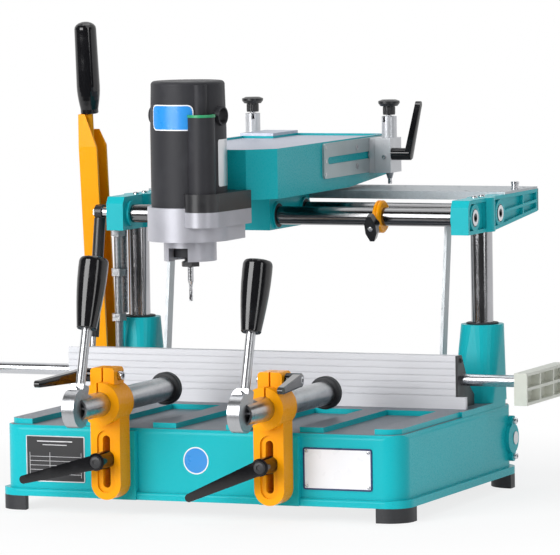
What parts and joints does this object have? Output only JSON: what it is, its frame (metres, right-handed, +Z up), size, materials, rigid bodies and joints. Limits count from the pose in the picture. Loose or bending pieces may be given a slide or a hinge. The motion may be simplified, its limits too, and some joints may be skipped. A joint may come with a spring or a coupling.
{
  "type": "duplicating router",
  "caption": "Bench-top copy router for window profiles: a plunging head with motor and tracer arm on crossed slides over a cast base with fence, end stops and cam clamps.",
  "frame": {"origin": "bottom centre of the machine's bounding box, on the bench under the feet", "axes": "+X across the machine to the operator's right, +Y from the operator to the rear, +Z up"},
  "size_m": [0.821, 0.8122, 0.634],
  "materials": {
    "teal_paint": "gloss enamel on castings",
    "yellow_paint": "gloss powder coat",
    "rubber": "matt moulded rubber",
    "anodised": "satin anodised extrusion",
    "black_plastic": "fine moulded texture",
    "chromed": "ground and hard chromed",
    "bright_steel": "turned or ground steel",
    "galvanised": "zinc plated sheet",
    "machined_aluminium": "bead blasted and machined",
    "black_metal": "black oxide or satin enamel",
    "motor_grey": "moulded housing",
    "beige_plastic": "moulded plastic"
  },
  "bodies": {
    "base": {"base_casting": "teal_paint", "rubber_feet": "rubber", "column_sockets": "teal_paint", "fence_profile": "anodised", "fence_end_caps": "black_plastic", "shaft_bearings": "teal_paint", "gas_stud_lower": "bright_steel"},
    "head": {"columns": "chromed", "head_bracket_left": "teal_paint", "head_bracket_right": "teal_paint", "guide_bars": "chromed", "template_plate": "galvanised", "bracket_end_caps": "black_plastic", "depth_rod": "bright_steel", "depth_scale": "bright_steel", "link_bars": "galvanised", "gas_stud_upper": "bright_steel"},
    "plunge_crank": {"crank_shaft": "bright_steel", "plunge_lever": "yellow_paint", "lever_grip": "black_plastic"},
    "ring_stop": {"stop_ring": "yellow_paint"},
    "ring_screw": {"stop_ring_knob": "black_plastic"},
    "cross_carriage": {"carriage": "teal_paint", "carriage_slider": "bright_steel"},
    "router_arm": {"arm_casting": "teal_paint", "arm_guide_rods": "chromed", "motor_holder": "machined_aluminium", "motor_clamp": "black_metal", "motor_housing": "motor_grey", "tracer_plates": "galvanised"},
    "spindle": {"collet_nut": "black_metal", "cutter": "bright_steel"},
    "gas_spring_rod": {"gas_rod": "chromed"},
    "gas_spring_cylinder": {"gas_cylinder": "black_metal"},
    "profile_stop_left": {"stop_rod_left": "bright_steel", "stop_block_left": "beige_plastic"},
    "profile_stop_right": {"stop_rod_right": "bright_steel", "stop_block_right": "beige_plastic"},
    "tracer_left": {"tracer_block_left": "bright_steel"},
    "tracer_lever_left": {"tracer_lever_left": "black_plastic"},
    "tracer_pin_left": {"tracer_pin_left": "black_metal"},
    "clamp_left_bracket": {"clamp_bracket_left": "yellow_paint"},
    "clamp_left_height_lever": {"height_lever_left": "black_plastic"},
    "clamp_left_collar_lever": {"collar_lever_left": "black_plastic"},
    "clamp_left_tube": {"clamp_tube_left": "bright_steel"},
    "clamp_left_plunger": {"clamp_pad_left": "rubber"},
    "clamp_left_cam": {"cam_hub_left": "bright_steel", "cam_grip_left": "black_plastic"},
    "tracer_right": {"tracer_block_right": "bright_steel"},
    "tracer_lever_right": {"tracer_lever_right": "black_plastic"},
    "tracer_pin_right": {"tracer_pin_right": "black_metal"},
    "clamp_right_bracket": {"clamp_bracket_right": "yellow_paint"},
    "clamp_right_height_lever": {"height_lever_right": "black_plastic"},
    "clamp_right_collar_lever": {"collar_lever_right": "black_plastic"},
    "clamp_right_tube": {"clamp_tube_right": "bright_steel"},
    "clamp_right_plunger": {"clamp_pad_right": "rubber"},
    "clamp_right_cam": {"cam_hub_right": "bright_steel", "cam_grip_right": "black_plastic"}
  },
  "joints": [
    {"name": "head_slide", "type": "slide", "parent": "base", "child": "head", "axis": [0, 0, -1], "range_m": [0, 0.04], "stiffness_N_per_m": 2500, "springref_m": -0.2},
    {"name": "plunge_lever_hinge", "type": "hinge", "parent": "base", "child": "plunge_crank", "pos_m": [0.019, 0.15387, 0.067], "axis": [1, 0, 0], "range_deg": [0, 38]},
    {"name": "gas_rod_hinge", "type": "hinge", "parent": "base", "child": "gas_spring_rod", "pos_m": [-0.2425, 0.04187, 0.08], "axis": [-1, 0, 0], "range_deg": [0, 1.57]},
    {"name": "gas_cylinder_slide", "type": "slide", "parent": "gas_spring_rod", "child": "gas_spring_cylinder", "axis": [0, -0.1759, -0.9844], "range_m": [0, 0.0394]},
    {"name": "ring_stop_slide", "type": "slide", "parent": "head", "child": "ring_stop", "axis": [1, 0, 0], "range_m": [-0.14, 0.1]},
    {"name": "ring_screw_turn", "type": "hinge", "parent": "ring_stop", "child": "ring_screw", "pos_m": [0.1835, 0.07387, 0.371], "axis": [0, -0.9397, -0.342], "range_deg": [-180, 180]},
    {"name": "carriage_slide", "type": "slide", "parent": "head", "child": "cross_carriage", "axis": [1, 0, 0], "range_m": [-0.139, 0.143]},
    {"name": "arm_slide", "type": "slide", "parent": "cross_carriage", "child": "router_arm", "axis": [0, 1, 0], "range_m": [-0.04, 0.12]},
    {"name": "spindle_turn", "type": "hinge", "parent": "router_arm", "child": "spindle", "pos_m": [-0.0045, -0.13813, 0.3], "axis": [0, 0, 1], "continuous": true},
    {"name": "profile_stop_left_slide", "type": "slide", "parent": "base", "child": "profile_stop_left", "axis": [-1, 0, 0], "range_m": [-0.13, 0.03]},
    {"name": "profile_stop_right_slide", "type": "slide", "parent": "base", "child": "profile_stop_right", "axis": [1, 0, 0], "range_m": [-0.045, 0.03]},
    {"name": "tracer_left_slide", "type": "slide", "parent": "router_arm", "child": "tracer_left", "axis": [0, 1, 0], "range_m": [-0.15, 0.009]},
    {"name": "tracer_lever_left_turn", "type": "hinge", "parent": "tracer_left", "child": "tracer_lever_left", "pos_m": [-0.1315, 0.34187, 0.444], "axis": [-1, 0, 0], "range_deg": [-80, 0]},
    {"name": "tracer_pin_left_slide", "type": "slide", "parent": "tracer_left", "child": "tracer_pin_left", "axis": [0, 0, 1], "range_m": [0, 0.01], "stiffness_N_per_m": 900, "springref_m": -0.012},
    {"name": "clamp_left_height_slide", "type": "slide", "parent": "base", "child": "clamp_left_bracket", "axis": [0, 0, 1], "range_m": [-0.013, 0.03]},
    {"name": "clamp_left_height_lever_turn", "type": "hinge", "parent": "base", "child": "clamp_left_height_lever", "pos_m": [-0.062, -0.28913, 0.075], "axis": [0, -1, 0], "range_deg": [-30, 35]},
    {"name": "clamp_left_collar_lever_turn", "type": "hinge", "parent": "clamp_left_bracket", "child": "clamp_left_collar_lever", "pos_m": [-0.062, -0.27613, 0.184], "axis": [1, 0, 0], "range_deg": [-25, 20]},
    {"name": "clamp_left_tube_slide", "type": "slide", "parent": "clamp_left_bracket", "child": "clamp_left_tube", "axis": [0, 1, 0], "range_m": [-0.1, 0.038]},
    {"name": "clamp_left_cam_turn", "type": "hinge", "parent": "clamp_left_tube", "child": "clamp_left_cam", "pos_m": [-0.062, -0.37413, 0.151], "axis": [1, 0, 0], "range_deg": [0, 100]},
    {"name": "clamp_left_plunger_slide", "type": "slide", "parent": "clamp_left_tube", "child": "clamp_left_plunger", "axis": [0, 1, 0], "range_m": [0, 0.008]},
    {"name": "tracer_right_slide", "type": "slide", "parent": "router_arm", "child": "tracer_right", "axis": [0, 1, 0], "range_m": [-0.15, 0.009]},
    {"name": "tracer_lever_right_turn", "type": "hinge", "parent": "tracer_right", "child": "tracer_lever_right", "pos_m": [0.1225, 0.27387, 0.444], "axis": [1, 0, 0], "range_deg": [-50, 50]},
    {"name": "tracer_pin_right_slide", "type": "slide", "parent": "tracer_right", "child": "tracer_pin_right", "axis": [0, 0, 1], "range_m": [0, 0.01], "stiffness_N_per_m": 900, "springref_m": -0.012},
    {"name": "clamp_right_height_slide", "type": "slide", "parent": "base", "child": "clamp_right_bracket", "axis": [0, 0, 1], "range_m": [-0.013, 0.03]},
    {"name": "clamp_right_height_lever_turn", "type": "hinge", "parent": "base", "child": "clamp_right_height_lever", "pos_m": [0.169, -0.28913, 0.075], "axis": [0, -1, 0], "range_deg": [-30, 30]},
    {"name": "clamp_right_collar_lever_turn", "type": "hinge", "parent": "clamp_right_bracket", "child": "clamp_right_collar_lever", "pos_m": [0.169, -0.27613, 0.184], "axis": [1, 0, 0], "range_deg": [-25, 20]},
    {"name": "clamp_right_tube_slide", "type": "slide", "parent": "clamp_right_bracket", "child": "clamp_right_tube", "axis": [0, 1, 0], "range_m": [-0.1, 0.038]},
    {"name": "clamp_right_cam_turn", "type": "hinge", "parent": "clamp_right_tube", "child": "clamp_right_cam", "pos_m": [0.169, -0.37413, 0.151], "axis": [1, 0, 0], "range_deg": [0, 100]},
    {"name": "clamp_right_plunger_slide", "type": "slide", "parent": "clamp_right_tube", "child": "clamp_right_plunger", "axis": [0, 1, 0], "range_m": [0, 0.008]}
  ],
  "couplings": [
    {"joint": "plunge_lever_hinge", "follows": "head_slide", "rad_per_m": 16.58},
    {"joint": "gas_rod_hinge", "follows": "head_slide", "rad_per_m": 0.68634},
    {"joint": "gas_cylinder_slide", "follows": "head_slide", "ratio": 0.98199},
    {"joint": "clamp_left_plunger_slide", "follows": "clamp_left_cam_turn", "m_per_rad": 0.00458},
    {"joint": "clamp_right_plunger_slide", "follows": "clamp_right_cam_turn", "m_per_rad": 0.00458}
  ]
}
